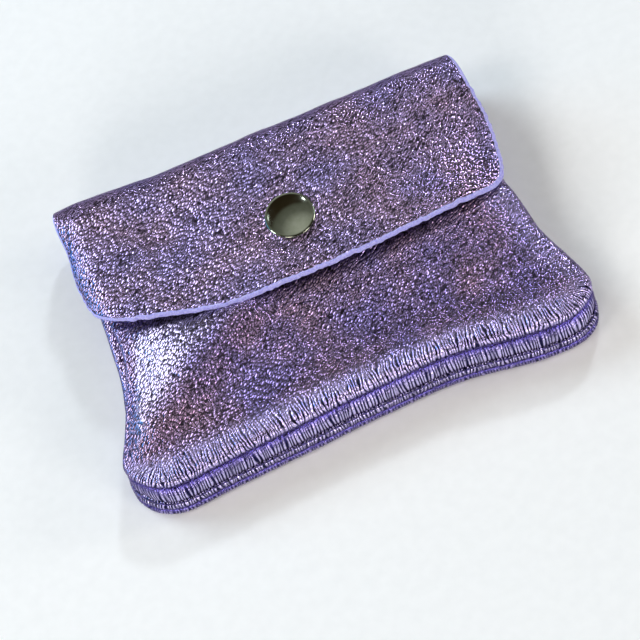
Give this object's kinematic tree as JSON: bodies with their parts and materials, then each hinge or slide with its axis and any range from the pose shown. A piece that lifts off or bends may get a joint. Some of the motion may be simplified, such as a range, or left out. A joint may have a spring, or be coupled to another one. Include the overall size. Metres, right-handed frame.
{
  "type": "coin purse",
  "caption": "Small three-pocket soft leather purse, its back panel folded over as a flap that a press snap shuts.",
  "frame": {"origin": "centre of the purse's outline, on the table plane under the back panel", "axes": "+X across the purse, +Y from the bottom seam to the fold, +Z from the back panel up to the flap and snap cap"},
  "size_m": [0.1192, 0.0849, 0.022],
  "materials": {
    "foiled_leather": "foil-finished pebble grain",
    "sewing_thread": "twisted polyester",
    "black_nickel": "mirror-polished black nickel plate",
    "spring_steel": "drawn wire"
  },
  "bodies": {
    "rear_pouch": {"back_panel": "foiled_leather", "rear_pocket_wall": "foiled_leather", "rear_seam_thread": "sewing_thread", "joining_thread": "sewing_thread", "flap_fold": "foiled_leather"},
    "front_pouch": {"front_panel": "foiled_leather", "front_pocket_wall": "foiled_leather", "front_seam_thread": "sewing_thread", "snap_stud": "black_nickel", "snap_stud_rivet": "black_nickel"},
    "flap": {"flap": "foiled_leather", "snap_cap": "black_nickel", "snap_cap_rivet": "black_nickel", "snap_socket": "black_nickel", "snap_spring": "spring_steel"}
  },
  "joints": [
    {"name": "flap_hinge", "type": "hinge", "parent": "rear_pouch", "child": "flap", "pos_m": [0, 0.033, 0.011], "axis": [-1, 0, 0], "range_deg": [0, 180], "deforming": ["flap_fold"]},
    {"name": "pouch_spread", "type": "hinge", "parent": "rear_pouch", "child": "front_pouch", "pos_m": [0, -0.04092, 0.00565], "axis": [1, 0, 0], "range_deg": [0, 9]}
  ],
  "couplings": [
    {"joint": "pouch_spread", "follows": "flap_hinge", "ratio": 0.05}
  ]
}
